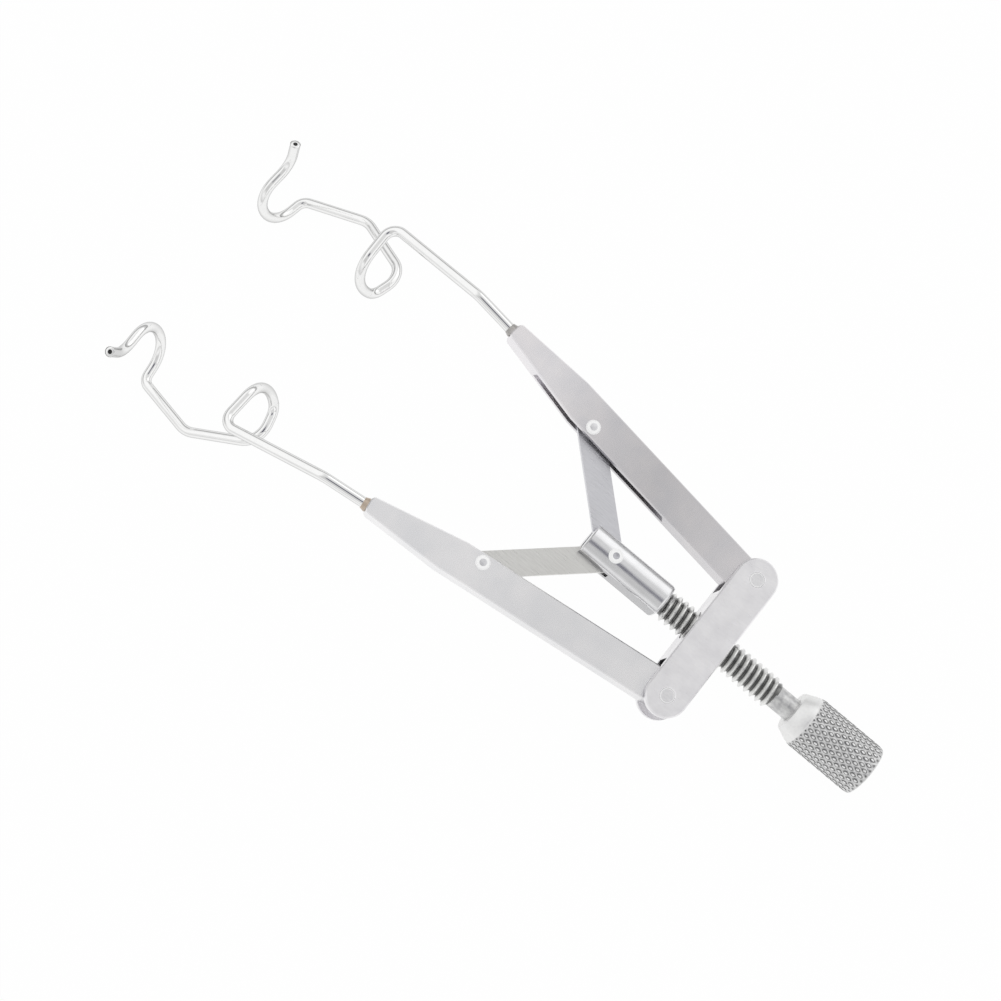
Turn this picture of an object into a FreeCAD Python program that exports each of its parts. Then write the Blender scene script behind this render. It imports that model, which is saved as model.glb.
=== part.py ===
# Screw-operated eyelid retractor with round wire blades.
# +X runs along the lead screw towards the blades, +Y to the left arm, +Z up.
# The origin is the middle of the yoke, on the screw's axis. Millimetres and degrees.

import FreeCAD, Part
import os
from math import cos, floor, pi, sin, tan

import Sketcher

Vector = FreeCAD.Vector
Placement = FreeCAD.Placement
Rotation = FreeCAD.Rotation
Constraint = Sketcher.Constraint

# Largest distance at which two places count as the same, and share of a volume that may be off
SAME_PLACE = 1e-4
VOLUME_SHARE = 0.02

doc = FreeCAD.newDocument("eyelid_retractor")

SIZES = {
    # yoke: the crossbar that carries both arms and the nut thread
    "yoke_width": 3.8,
    "yoke_thickness": 3.8,
    "yoke_block_length": 7.5,
    "yoke_edge_bevel": 0.12,
    "pivot_spacing": 12.8,
    "pivot_pin_diameter": 1.3,
    "pin_bevel": 0.09,
    # arms: flat bars with a saw slot in the inner edge
    "arm_angle": 7.3,
    "arm_length": 29.85,
    "arm_thickness": 2.3,
    "arm_outer_offset": 1.2,
    "arm_inner_offset": 2.0,
    "arm_heel": 1.4,
    "arm_heel_round": 1.0,
    "arm_outer_taper": 22.2,
    "arm_inner_taper": 21.0,
    "arm_tip_width": 1.5,
    "arm_tip_offset": 0.25,
    "arm_tip_round": 0.45,
    "arm_edge_bevel": 0.1,
    "arm_slot_start": 9.1,
    "arm_slot_end": 27.0,
    "arm_slot_depth": 2.35,
    "slot_height": 1.1,
    "wire_seat_depth": 4.4,
    "wire_end_gap": 0.1,
    # link rivets, one in each arm
    "rivet_reach": 19.1,
    "rivet_inset": 1.2,
    "rivet_shank_diameter": 0.8,
    "rivet_head_diameter": 1.3,
    "rivet_rim_height": 0.105,
    "rivet_shoulder_diameter": 1.06,
    "rivet_shoulder_height": 0.246,
    "rivet_flat_diameter": 0.66,
    "rivet_head_height": 0.3,
    # links, one above the other in the collar
    "link_width": 2.3,
    "link_thickness": 0.5,
    "link_eye_diameter": 1.6,
    "link_eye_shift_forward": 0.075,
    "link_eye_shift_out": 0.155,
    # collar: the round slider that the screw pushes
    "collar_rear": 4.9,
    "collar_length": 8.5,
    "collar_diameter": 3.9,
    "collar_flats_width": 2.84,
    "collar_end_round": 0.35,
    "collar_edge_bevel": 0.1,
    "collar_side_bevel": 0.16,
    "collar_pin_setback": 2.65,
    "collar_pin_diameter": 1.0,
    "collar_pin_head_diameter": 1.28,
    "collar_pin_head_height": 0.2,
    "collar_pin_edge_height": 0.06,
    "collar_pin_rim_width": 0.14,
    "collar_pin_dimple_diameter": 0.6,
    "collar_pin_dimple_depth": 0.08,
    "collar_slot_floor": 1.27,
    "collar_slot_flare": 24.0,
    "journal_bore_wall": 0.68,
    # lead screw
    "thread_diameter": 2.845,
    "thread_root_diameter": 2.1,
    "thread_root_flat": 0.04,
    "thread_pitch": 0.635,
    "thread_flank_angle": 60.0,
    "thread_rear": -7.6,
    "thread_collar_gap": 0.15,
    "neck_diameter": 2.1,
    "neck_seat_depth": 5.0,
    "neck_end_gap": 0.05,
    "journal_diameter": 1.6,
    "journal_end_gap": 0.1,
    "journal_groove_setback": 2.3,
    "journal_groove_width": 0.7,
    "journal_groove_diameter": 1.0,
    "swivel_pin_diameter": 0.56,
    # knob
    "knob_front": -9.55,
    "knob_length": 8.3,
    "knob_rim_diameter": 3.75,
    "knob_shoulder_diameter": 4.7,
    "knob_diameter": 5.05,
    "knob_cone_length": 1.15,
    "knob_shoulder_length": 0.2,
    "knob_end_bevel": 0.3,
    # blade wires
    "wire_diameter": 0.94,
    "braze_diameter": 1.3,
    "braze_length": 0.45,
    "braze_front_rim": 0.04,
    # running and fixed clearances
    "running_clearance": 0.03,
    "fixed_clearance": 0.01,
    "side_play": 0.04,
}

# Corners of a blade wire's centre line: forward of the arm's tip, outward from the
# pivot's line, down from the arm's middle, and the bend radius there.
WIRE_CORNERS = {
    "exit_bend": (0.5, -0.23, 0.0, 3.0),
    "shaft_bend": (4.3, -0.3, 0.0, 2.15),
    "rear_hook_bend": (14.3, -0.3, 4.65, 1.15),
    "rear_hook_leg": (13.72, -3.95, 4.83, 1.65),
    "rear_hook_top": (12.97, -6.14, 6.75, 3.2),
    "rear_hook_bottom": (11.36, -4.8, 9.18, 1.35),
    "bar_start": (10.87, -1.44, 9.26, 2.2),
    "bar_middle": (17.12, 0.57, 12.98, 2.4),
    "bar_end": (22.95, -1.8, 15.96, 1.0),
    "front_hook_bottom": (23.0, -5.78, 15.5, 2.9),
    "front_hook_top": (25.13, -5.93, 11.46, 2.55),
    "front_hook_leg": (25.31, -1.82, 10.23, 2.6),
    "wire_tip": (25.94, -0.88, 7.73, 0.0),
}
for corner, values in WIRE_CORNERS.items():
    for part, value in zip(("forward", "outward", "drop", "bend"), values):
        SIZES[corner + "_" + part] = value

sheet = doc.addObject("Spreadsheet::Sheet", "Sizes")
for row, (alias, value) in enumerate(SIZES.items(), start=1):
    sheet.set("A%d" % row, alias)
    sheet.set("B%d" % row, str(value))
    sheet.setAlias("B%d" % row, alias)
doc.recompute()


def size(alias):
    """Value of one named size."""
    return float(getattr(sheet, alias))


def ref(text):
    """Expression text with each name in braces read from the sheet."""
    return text.replace("{", "Sizes.").replace("}", "")


def evaluate(text):
    """Number that an expression on the sheet gives now."""
    value = sheet.evalExpression(ref(text))
    return float(getattr(value, "Value", value))


def new_body(label):
    """Empty body of one sub-part."""
    body = doc.addObject("PartDesign::Body", label)
    body.Label = label
    return body


def origin_plane(body, role):
    """One of the body's own base planes."""
    return next(plane for plane in body.Origin.OriginFeatures if plane.Role == role)


def new_sketch(body, name, role, offset=None):
    """Sketch on a base plane, moved along the plane's normal by an expression."""
    sketch = body.newObject("Sketcher::SketchObject", name)
    sketch.AttachmentSupport = (origin_plane(body, role), [""])
    sketch.MapMode = "FlatFace"
    if offset:
        sketch.setExpression("AttachmentOffset.Base.z", ref(offset))
    return sketch


def bind(sketch, constraint, name, text):
    """Add a constraint whose value is an expression on the sheet."""
    index = sketch.addConstraint(constraint)
    sketch.renameConstraint(index, name)
    sketch.setExpression("Constraints." + name, ref(text))


def draw_outline(sketch, points):
    """Closed outline of straight edges through points given as expressions."""
    spots = [Vector(evaluate(across), evaluate(up), 0) for across, up in points]
    count = len(spots)
    for number in range(count):
        sketch.addGeometry(Part.LineSegment(spots[number], spots[(number + 1) % count]), False)
    for number in range(count):
        sketch.addConstraint(Constraint("Coincident", number, 2, (number + 1) % count, 1))
    for number, (across, up) in enumerate(points):
        spot = spots[number]
        bind(sketch, Constraint("DistanceX", -1, 1, number, 1, spot.x), "p%dx" % number, across)
        bind(sketch, Constraint("DistanceY", -1, 1, number, 1, spot.y), "p%dy" % number, up)


def draw_circle(sketch, across, up, radius):
    """Circle whose centre and radius are expressions."""
    centre = Vector(evaluate(across), evaluate(up), 0)
    sketch.addGeometry(Part.Circle(centre, Vector(0, 0, 1), evaluate(radius)), False)
    bind(sketch, Constraint("DistanceX", -1, 1, 0, 3, centre.x), "centre_across", across)
    bind(sketch, Constraint("DistanceY", -1, 1, 0, 3, centre.y), "centre_up", up)
    bind(sketch, Constraint("Radius", 0, evaluate(radius)), "circle_radius", radius)


def draw_stadium(sketch, start, end, radius, turn):
    """Slot shape with round ends on start and end along the local axis at angle turn."""
    middle_1 = Vector(evaluate(start[0]), evaluate(start[1]), 0)
    middle_2 = Vector(evaluate(end[0]), evaluate(end[1]), 0)
    reach = evaluate(radius)
    side = Vector(-sin(turn), cos(turn), 0) * reach
    up = Vector(0, 0, 1)
    circle_1 = Part.Circle(middle_1, up, reach)
    circle_2 = Part.Circle(middle_2, up, reach)
    quarter = pi / 2
    sketch.addGeometry(Part.ArcOfCircle(circle_1, turn + quarter, turn + 3 * quarter), False)
    sketch.addGeometry(Part.LineSegment(middle_1 - side, middle_2 - side), False)
    sketch.addGeometry(Part.ArcOfCircle(circle_2, turn - quarter, turn + quarter), False)
    sketch.addGeometry(Part.LineSegment(middle_2 + side, middle_1 + side), False)
    for number in range(4):
        sketch.addConstraint(Constraint("Tangent", number, 2, (number + 1) % 4, 1))
    for arc, (across, along), middle in ((0, start, middle_1), (2, end, middle_2)):
        bind(sketch, Constraint("DistanceX", -1, 1, arc, 3, middle.x), "middle_across_%d" % arc, across)
        bind(sketch, Constraint("DistanceY", -1, 1, arc, 3, middle.y), "middle_along_%d" % arc, along)
    bind(sketch, Constraint("Radius", 0, reach), "end_radius", radius)


def pad(body, sketch, length, name="plate"):
    """Plate of the sketch, half of its length on each side."""
    feature = body.newObject("PartDesign::Pad", name)
    feature.Profile = sketch
    feature.SideType = "Symmetric"
    feature.setExpression("Length", ref(length))
    doc.recompute()
    return feature


def pocket(body, sketch, length, name):
    """Cut of the sketch, half of its length on each side."""
    before = body.Shape.Volume
    feature = body.newObject("PartDesign::Pocket", name)
    feature.Profile = sketch
    feature.SideType = "Symmetric"
    feature.setExpression("Length", ref(length))
    doc.recompute()
    if body.Shape.Volume >= before:
        raise RuntimeError(name + " cuts nothing")
    return feature


def revolve(body, sketch, axis="H_Axis"):
    """Turned form about one of the sketch's own axes."""
    feature = body.newObject("PartDesign::Revolution", "turned_form")
    feature.Profile = sketch
    feature.ReferenceAxis = (sketch, [axis])
    feature.Angle = 360
    doc.recompute()
    return feature


def bore(body, name, role, radius, start, length, across="0", up="0"):
    """Round hole along a base plane's normal, from start over a length."""
    before = body.Shape.Volume
    feature = body.newObject("PartDesign::SubtractiveCylinder", name)
    feature.AttachmentSupport = (origin_plane(body, role), [""])
    feature.MapMode = "FlatFace"
    feature.setExpression("Radius", ref(radius))
    feature.setExpression("Height", ref(length))
    feature.setExpression("AttachmentOffset.Base.x", ref(across))
    feature.setExpression("AttachmentOffset.Base.y", ref(up))
    feature.setExpression("AttachmentOffset.Base.z", ref(start))
    doc.recompute()
    if body.Shape.Volume >= before:
        raise RuntimeError(name + " cuts nothing")
    return feature


def edge_names(feature, wanted):
    """Names of the feature's edges that the test picks."""
    return ["Edge%d" % (index + 1) for index, edge in enumerate(feature.Shape.Edges) if wanted(edge)]


def dress_edges(body, kind, feature, wanted, amount, name):
    """Chamfer or fillet on the picked edges of a feature."""
    dressing = body.newObject("PartDesign::" + kind, name)
    dressing.Base = (feature, edge_names(feature, wanted))
    dressing.setExpression("Size" if kind == "Chamfer" else "Radius", ref(amount))
    doc.recompute()
    return dressing


def lies_flat(edge, height):
    """True for an edge that lies in the plane at this height."""
    box = edge.BoundBox
    return abs(box.ZMin - height) < SAME_PLACE and abs(box.ZMax - height) < SAME_PLACE


def is_rim(edge, x):
    """True for a round edge that lies in the plane at this place along the screw."""
    box = edge.BoundBox
    flat = abs(box.XMin - x) < SAME_PLACE and abs(box.XMax - x) < SAME_PLACE
    return flat and hasattr(edge.Curve, "Radius")


def place(feature, x="0", y="0", z="0", turn="0"):
    """Stand a sub-part in the assembly, turned about the vertical."""
    feature.Placement = Placement(Vector(0, 0, 0), Rotation(Vector(0, 0, 1), 1))
    feature.setExpression("Placement.Base.x", ref(x))
    feature.setExpression("Placement.Base.y", ref(y))
    feature.setExpression("Placement.Base.z", ref(z))
    feature.setExpression("Placement.Rotation.Angle", ref(turn))
    doc.recompute()


# Places that several pieces share

PIVOT_Y = "{pivot_spacing} / 2"
RIVET_X = "({rivet_reach} * cos({arm_angle}) + {rivet_inset} * sin({arm_angle}))"
RIVET_Y = "({pivot_spacing} / 2 + {rivet_reach} * sin({arm_angle}) - {rivet_inset} * cos({arm_angle}))"
COLLAR_FRONT = "({collar_rear} + {collar_length})"
COLLAR_PIN_X = "({collar_rear} + {collar_length} - {collar_pin_setback})"
JOURNAL_BORE_END = "(%s - {collar_slot_floor} - {journal_bore_wall})" % COLLAR_PIN_X
JOURNAL_GROOVE_X = "({collar_rear} + {journal_groove_setback})"
LINK_REACH_X = "(%s + {link_eye_shift_forward} - %s)" % (RIVET_X, COLLAR_PIN_X)
LINK_REACH_Y = "(%s + {link_eye_shift_out})" % RIVET_Y
LINK_LENGTH = "sqrt(%s ^ 2 + %s ^ 2)" % (LINK_REACH_X, LINK_REACH_Y)
LINK_ANGLE = "atan2(%s; %s)" % (LINK_REACH_Y, LINK_REACH_X)
LINK_Z = "(({side_play} + {link_thickness}) / 2)"
YOKE_SLOT_HEIGHT = "({arm_thickness} + 2 * {side_play})"
KNOB_REAR = "({knob_front} - {knob_length})"
SIDES = (("left", 1), ("right", -1))


def make_yoke():
    """Crossbar with round ends, an open slot at each end and the nut bore."""
    body = new_body("yoke")
    plan = new_sketch(body, "yoke_plan", "XY_Plane")
    ends = (("0", "-{pivot_spacing} / 2"), ("0", "{pivot_spacing} / 2"))
    draw_stadium(plan, *ends, "{yoke_width} / 2", pi / 2)
    plate = pad(body, plan, "{yoke_thickness}")
    half = size("yoke_thickness") / 2
    pin_hole = size("pivot_pin_diameter") / 2 + size("fixed_clearance")

    def on_face(edge):
        return lies_flat(edge, half) or lies_flat(edge, -half)

    def pin_mouth(edge):
        return on_face(edge) and abs(getattr(edge.Curve, "Radius", 0) - pin_hole) < SAME_PLACE

    dress_edges(body, "Chamfer", plate, on_face, "{yoke_edge_bevel}", "edge_bevel")
    for label, side in SIDES:
        slot = new_sketch(body, "slot_plan_" + label, "XY_Plane")
        inner = "%d * {yoke_block_length} / 2" % side
        outer = "%d * ({pivot_spacing} / 2 + {yoke_width})" % side
        draw_outline(slot, [("-{yoke_width}", inner), ("{yoke_width}", inner),
                            ("{yoke_width}", outer), ("-{yoke_width}", outer)])
        pocket(body, slot, YOKE_SLOT_HEIGHT, "arm_slot_" + label)
        bore(body, "pin_hole_" + label, "XY_Plane", "{pivot_pin_diameter} / 2 + {fixed_clearance}",
             "-{yoke_thickness}", "2 * {yoke_thickness}", up="%d * {pivot_spacing} / 2" % side)
    drilled = bore(body, "nut_bore", "YZ_Plane", "{thread_diameter} / 2 + {running_clearance}",
                   "-{yoke_width}", "2 * {yoke_width}")
    dress_edges(body, "Chamfer", drilled, pin_mouth, "{pin_bevel}", "pin_mouths")
    return body


def make_pivot_pin(label, side):
    """Plain pin, ground flush with both faces of the yoke."""
    pin = doc.addObject("Part::Cylinder", "pivot_pin_%s_bar" % label)
    pin.setExpression("Radius", ref("{pivot_pin_diameter} / 2"))
    pin.setExpression("Height", ref("{yoke_thickness}"))
    pin.setExpression("Placement.Base.z", ref("-{yoke_thickness} / 2"))
    doc.recompute()
    bevelled = doc.addObject("Part::Chamfer", "pivot_pin_" + label)
    bevelled.Base = pin
    bevel = size("pin_bevel")
    rims = [index + 1 for index, edge in enumerate(pin.Shape.Edges) if hasattr(edge.Curve, "Radius")]
    bevelled.Edges = [(index, bevel, bevel) for index in rims]
    bevelled.Label = "pivot_pin_" + label
    place(bevelled, y="%d * %s" % (side, PIVOT_Y))
    return bevelled


def make_arm(label, side):
    """Flat arm: outline, edge bevels, saw slot, pivot bore, rivet hole and wire seat."""
    body = new_body("arm_" + label)
    plan = new_sketch(body, "arm_plan", "XY_Plane")
    out = "%d * " % side
    tip_outer = out + "({arm_tip_width} / 2 - {arm_tip_offset})"
    tip_inner = out + "(-{arm_tip_width} / 2 - {arm_tip_offset})"
    draw_outline(plan, [
        ("-{arm_heel}", out + "{arm_outer_offset}"),
        ("{arm_outer_taper}", out + "{arm_outer_offset}"),
        ("{arm_length}", tip_outer),
        ("{arm_length}", tip_inner),
        ("{arm_inner_taper}", out + "-{arm_inner_offset}"),
        ("-{arm_heel}", out + "-{arm_inner_offset}"),
    ])
    plate = pad(body, plan, "{arm_thickness}")
    half = size("arm_thickness") / 2

    def upright_at(edge, x):
        box = edge.BoundBox
        return box.ZLength > half and abs(box.XMin - x) < SAME_PLACE and abs(box.XMax - x) < SAME_PLACE

    def on_face(edge):
        return lies_flat(edge, half) or lies_flat(edge, -half)

    heel = dress_edges(body, "Fillet", plate, lambda edge: upright_at(edge, -size("arm_heel")),
                       "{arm_heel_round}", "heel_round")
    tip = dress_edges(body, "Fillet", heel, lambda edge: upright_at(edge, size("arm_length")),
                      "{arm_tip_round}", "tip_round")
    dress_edges(body, "Chamfer", tip, on_face, "{arm_edge_bevel}", "edge_bevel")
    saw = new_sketch(body, "saw_cut", "XY_Plane")
    half_run = "(({arm_slot_end} - {arm_slot_start}) / 2)"
    saw_radius = "((%s ^ 2 + {arm_slot_depth} ^ 2) / (2 * {arm_slot_depth}))" % half_run
    draw_circle(saw, "({arm_slot_start} + {arm_slot_end}) / 2",
                out + "({arm_slot_depth} - {arm_inner_offset} - %s)" % saw_radius, saw_radius)
    pocket(body, saw, "{slot_height}", "link_slot")
    through = ("-{arm_thickness}", "2 * {arm_thickness}")
    bore(body, "pivot_bore", "XY_Plane", "{pivot_pin_diameter} / 2 + {running_clearance}", *through)
    bore(body, "rivet_hole", "XY_Plane", "{rivet_shank_diameter} / 2 + {fixed_clearance}", *through,
         across="{rivet_reach}", up=out + "-{rivet_inset}")
    bore(body, "wire_seat", "YZ_Plane", "{wire_diameter} / 2 + {fixed_clearance}",
         "{arm_length} - {wire_seat_depth}", "2 * {wire_seat_depth}", across=out + "-{arm_tip_offset}")
    place(body, y=out + PIVOT_Y, turn=out + "{arm_angle}")
    return body


def make_rivet(label, side):
    """Link rivet: a thin shank with a domed, flat-topped head on each face of the arm."""
    body = new_body("link_rivet_" + label)
    half = new_sketch(body, "rivet_profile", "XZ_Plane")
    seat = "({arm_thickness} / 2)"
    upper = [
        ("{rivet_shank_diameter} / 2", seat),
        ("{rivet_head_diameter} / 2", seat),
        ("{rivet_head_diameter} / 2", "(%s + {rivet_rim_height})" % seat),
        ("{rivet_shoulder_diameter} / 2", "(%s + {rivet_shoulder_height})" % seat),
        ("{rivet_flat_diameter} / 2", "(%s + {rivet_head_height})" % seat),
        ("0", "(%s + {rivet_head_height})" % seat),
    ]
    lower = [(across, "-" + up) for across, up in reversed(upper)]
    draw_outline(half, lower + upper)
    revolve(body, half, "V_Axis")
    place(body, x=RIVET_X, y="%d * %s" % (side, RIVET_Y))
    return body


def make_link(label, side):
    """Flat link with round ends: a running hole at the collar pin, a wide eye at the arm."""
    body = new_body("link_" + label)
    plan = new_sketch(body, "link_plan", "XY_Plane")
    draw_stadium(plan, ("0", "0"), (LINK_LENGTH, "0"), "{link_width} / 2", 0)
    pad(body, plan, "{link_thickness}")
    through = ("-{link_thickness}", "2 * {link_thickness}")
    bore(body, "pin_hole", "XY_Plane", "{collar_pin_diameter} / 2 + {running_clearance}", *through)
    bore(body, "rivet_eye", "XY_Plane", "{link_eye_diameter} / 2", *through, across=LINK_LENGTH)
    place(body, x=COLLAR_PIN_X, z="%d * %s" % (side, LINK_Z), turn="%d * %s" % (side, LINK_ANGLE))
    return body


def cut_flat(body, label, side):
    """Flat along one side of the collar."""
    flat = new_sketch(body, "flat_plan_" + label, "XY_Plane")
    inner = "%d * {collar_flats_width} / 2" % side
    outer = "%d * {collar_diameter}" % side
    start = "{collar_rear} - {collar_diameter} / 2"
    end = COLLAR_FRONT + " + {collar_diameter} / 2"
    draw_outline(flat, [(start, inner), (end, inner), (end, outer), (start, outer)])
    return pocket(body, flat, "2 * {collar_diameter}", "flat_" + label)


def make_collar():
    """Round slider with two side flats, a flared slot in front and a blind bore behind."""
    body = new_body("collar")
    half = new_sketch(body, "collar_profile", "XZ_Plane")
    draw_outline(half, [("{collar_rear}", "0"), (COLLAR_FRONT, "0"),
                        (COLLAR_FRONT, "{collar_diameter} / 2"), ("{collar_rear}", "{collar_diameter} / 2")])
    turned = revolve(body, half)
    rounded = dress_edges(body, "Fillet", turned, lambda edge: is_rim(edge, size("collar_rear")),
                          "{collar_end_round}", "rear_round")
    dress_edges(body, "Chamfer", rounded, lambda edge: is_rim(edge, evaluate(COLLAR_FRONT)),
                "{collar_edge_bevel}", "front_bevel")
    flats = [cut_flat(body, label, side) for label, side in SIDES]
    side_y = size("collar_flats_width") / 2

    def flat_edge(edge):
        along = edge.BoundBox.XLength > size("collar_length") / 2
        return along and abs(abs(edge.CenterOfMass.y) - side_y) < SAME_PLACE

    dress_edges(body, "Chamfer", flats[-1], flat_edge, "{collar_side_bevel}", "side_bevel")
    slot = new_sketch(body, "slot_plan", "XY_Plane")
    floor_x = "(%s - {collar_slot_floor})" % COLLAR_PIN_X
    shoulder_x = "(%s + {collar_diameter} / 2 * tan({collar_slot_flare}))" % floor_x
    reach = "{collar_diameter} / 2"
    outside = COLLAR_FRONT + " + " + reach
    draw_outline(slot, [(floor_x, "0"), (shoulder_x, "-" + reach), (outside, "-" + reach),
                        (outside, reach), (shoulder_x, reach)])
    pocket(body, slot, "{slot_height}", "link_slot")
    link_pocket = new_sketch(body, "link_pocket_plan", "XY_Plane")
    draw_circle(link_pocket, COLLAR_PIN_X, "0", "{collar_slot_floor} - {fixed_clearance}")
    pocket(body, link_pocket, "{slot_height}", "link_pocket")
    bore(body, "pin_hole", "XY_Plane", "{collar_pin_diameter} / 2 + {fixed_clearance}",
         "-{collar_diameter}", "2 * {collar_diameter}", across=COLLAR_PIN_X)
    bore(body, "journal_bore", "YZ_Plane", "{journal_diameter} / 2 + {running_clearance}",
         "{collar_rear} - " + reach, "%s - {collar_rear} + %s" % (JOURNAL_BORE_END, reach))
    bore(body, "swivel_pin_hole", "XY_Plane", "{swivel_pin_diameter} / 2 + {fixed_clearance}",
         "-{collar_diameter}", "{collar_diameter}", across=JOURNAL_GROOVE_X)
    return body


def make_collar_pin():
    """Hinge pin of both links: a shank with a low dimpled head on each side of the collar."""
    body = new_body("collar_pin")
    half = new_sketch(body, "pin_profile", "XZ_Plane")
    seat = "({collar_diameter} / 2 + {fixed_clearance})"
    top = "({collar_diameter} / 2 + {collar_pin_head_height})"
    upper = [
        ("{collar_pin_diameter} / 2", seat),
        ("{collar_pin_head_diameter} / 2", seat),
        ("{collar_pin_head_diameter} / 2", "({collar_diameter} / 2 + {collar_pin_edge_height})"),
        ("{collar_pin_dimple_diameter} / 2 + {collar_pin_rim_width}", top),
        ("{collar_pin_dimple_diameter} / 2", top),
        ("0", "(%s - {collar_pin_dimple_depth})" % top),
    ]
    lower = [(across, "-" + up) for across, up in reversed(upper)]
    draw_outline(half, lower + upper)
    revolve(body, half, "V_Axis")
    place(body, x=COLLAR_PIN_X)
    return body


def make_screw():
    """Lead screw: journal with its groove, thread drawn as ring grooves of the same pitch, neck."""
    body = new_body("lead_screw")
    half = new_sketch(body, "screw_profile", "XZ_Plane")
    crest = "{thread_diameter} / 2"
    root = "{neck_diameter} / 2"
    journal = "{journal_diameter} / 2"
    groove = "{journal_groove_diameter} / 2"
    groove_rear = JOURNAL_GROOVE_X + " - {journal_groove_width} / 2"
    groove_front = JOURNAL_GROOVE_X + " + {journal_groove_width} / 2"
    thread_front = "({collar_rear} - {thread_collar_gap})"
    journal_end = "(%s - {journal_end_gap})" % JOURNAL_BORE_END
    neck_end = "({knob_front} - {neck_seat_depth})"
    depth = "(({thread_diameter} - {thread_root_diameter}) / 2)"
    draw_outline(half, [
        (neck_end, "0"), (neck_end, root), ("{thread_rear}", root), ("{thread_rear} + " + depth, crest),
        (thread_front + " - " + depth, crest), (thread_front, root), (thread_front, journal),
        (groove_rear, journal), (groove_rear, groove), (groove_front, groove), (groove_front, journal),
        (journal_end, journal), (journal_end, "0"),
    ])
    revolve(body, half)
    notch = new_sketch(body, "thread_notch", "XZ_Plane")
    thread_root = "{thread_root_diameter} / 2"
    spread = "(%s * tan({thread_flank_angle} / 2))" % depth
    middle = "({thread_rear} + {thread_pitch} + %s)" % spread
    narrow = "{thread_root_flat} / 2"
    wide = "({thread_root_flat} / 2 + %s)" % spread
    outside = crest + " + {running_clearance}"
    draw_outline(notch, [
        ("%s - %s" % (middle, narrow), thread_root), ("%s + %s" % (middle, narrow), thread_root),
        ("%s + %s" % (middle, wide), crest), ("%s + %s" % (middle, wide), outside),
        ("%s - %s" % (middle, wide), outside), ("%s - %s" % (middle, wide), crest),
    ])
    cut = body.newObject("PartDesign::Groove", "thread_groove")
    cut.Profile = notch
    cut.ReferenceAxis = (notch, ["H_Axis"])
    cut.Angle = 360
    doc.recompute()
    before = body.Shape.Volume
    turns = body.newObject("PartDesign::LinearPattern", "thread_turns")
    turns.Originals = [cut]
    turns.Direction = (origin_plane(body, "X_Axis"), [""])
    turns.Mode = "Spacing"
    turns.setExpression("Offset", ref("{thread_pitch}"))
    run = evaluate(thread_front) - size("thread_rear")
    turns.Occurrences = int(floor(run / size("thread_pitch"))) - 1
    body.Tip = turns
    doc.recompute()
    if body.Shape.Volume >= before:
        raise RuntimeError("the thread has one groove only")
    return body


def make_swivel_pin():
    """Small pin from below that holds the screw's journal by its groove."""
    pin = doc.addObject("Part::Cylinder", "swivel_pin")
    pin.Label = "swivel_pin"
    pin.setExpression("Radius", ref("{swivel_pin_diameter} / 2"))
    wall = "({collar_diameter} - {journal_groove_diameter}) / 2"
    pin.setExpression("Height", ref(wall + " - 2 * {running_clearance}"))
    place(pin, x=JOURNAL_GROOVE_X, z="-{collar_diameter} / 2")
    return pin


def make_knob():
    """Turned knob with a cone in front, a blind bore for the screw's neck and a bevelled end."""
    body = new_body("knob")
    half = new_sketch(body, "knob_profile", "XZ_Plane")
    shoulder = "({knob_front} - {knob_cone_length})"
    grip = "(%s - {knob_shoulder_length})" % shoulder
    bore_radius = "{neck_diameter} / 2 + {fixed_clearance}"
    bore_end = "({knob_front} - {neck_seat_depth} - {neck_end_gap})"
    draw_outline(half, [
        (KNOB_REAR, "0"), (KNOB_REAR, "{knob_diameter} / 2 - {knob_end_bevel}"),
        (KNOB_REAR + " + {knob_end_bevel}", "{knob_diameter} / 2"), (grip, "{knob_diameter} / 2"),
        (shoulder, "{knob_shoulder_diameter} / 2"), ("{knob_front}", "{knob_rim_diameter} / 2"),
        ("{knob_front}", bore_radius), (bore_end, bore_radius), (bore_end, "0"),
    ])
    revolve(body, half)
    return body


def round_corners(corners, radii):
    """Wire of straight runs and tangent arcs through the corners."""
    edges = []
    start = corners[0]
    for number in range(1, len(corners) - 1):
        here = corners[number]
        back = (corners[number - 1] - here).normalize()
        ahead = (corners[number + 1] - here).normalize()
        half_angle = back.getAngle(ahead) / 2
        setback = radii[number] / tan(half_angle)
        entry = here + back * setback
        leave = here + ahead * setback
        toward = (back + ahead).normalize()
        middle = here + toward * (radii[number] / sin(half_angle) - radii[number])
        if start.distanceToPoint(entry) > SAME_PLACE:
            edges.append(Part.LineSegment(start, entry).toShape())
        edges.append(Part.Arc(entry, middle, leave).toShape())
        start = leave
    edges.append(Part.LineSegment(start, corners[-1]).toShape())
    return Part.Wire(edges)


def make_blade(label, side):
    """Round wire blade: seat in the arm, sloping shaft, hook, bar under the lid, hook, free leg."""
    tip = size("arm_length")
    seat_x = tip - size("wire_seat_depth") + size("wire_end_gap")
    seat = Vector(seat_x, -side * size("arm_tip_offset"), 0)
    corners = [seat]
    for name in WIRE_CORNERS:
        forward, outward, drop = (size("%s_%s" % (name, part)) for part in ("forward", "outward", "drop"))
        corners.append(Vector(tip + forward, side * outward, -drop))
    corners[1].y = seat.y
    radii = [0] + [size(name + "_bend") for name in WIRE_CORNERS]
    path = round_corners(corners, radii)
    radius = size("wire_diameter") / 2
    ring = Part.Wire([Part.Circle(seat, Vector(1, 0, 0), radius).toShape()])
    tube = path.makePipeShell([ring], True, True)
    expected = pi * radius ** 2 * path.Length
    if abs(tube.Volume - expected) > VOLUME_SHARE * expected:
        raise RuntimeError("blade wire volume is off")
    blade = doc.addObject("Part::Feature", "blade_" + label)
    blade.Label = "blade_" + label
    blade.Shape = tube
    place(blade, y="%d * %s" % (side, PIVOT_Y), turn="%d * {arm_angle}" % side)
    return blade


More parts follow.
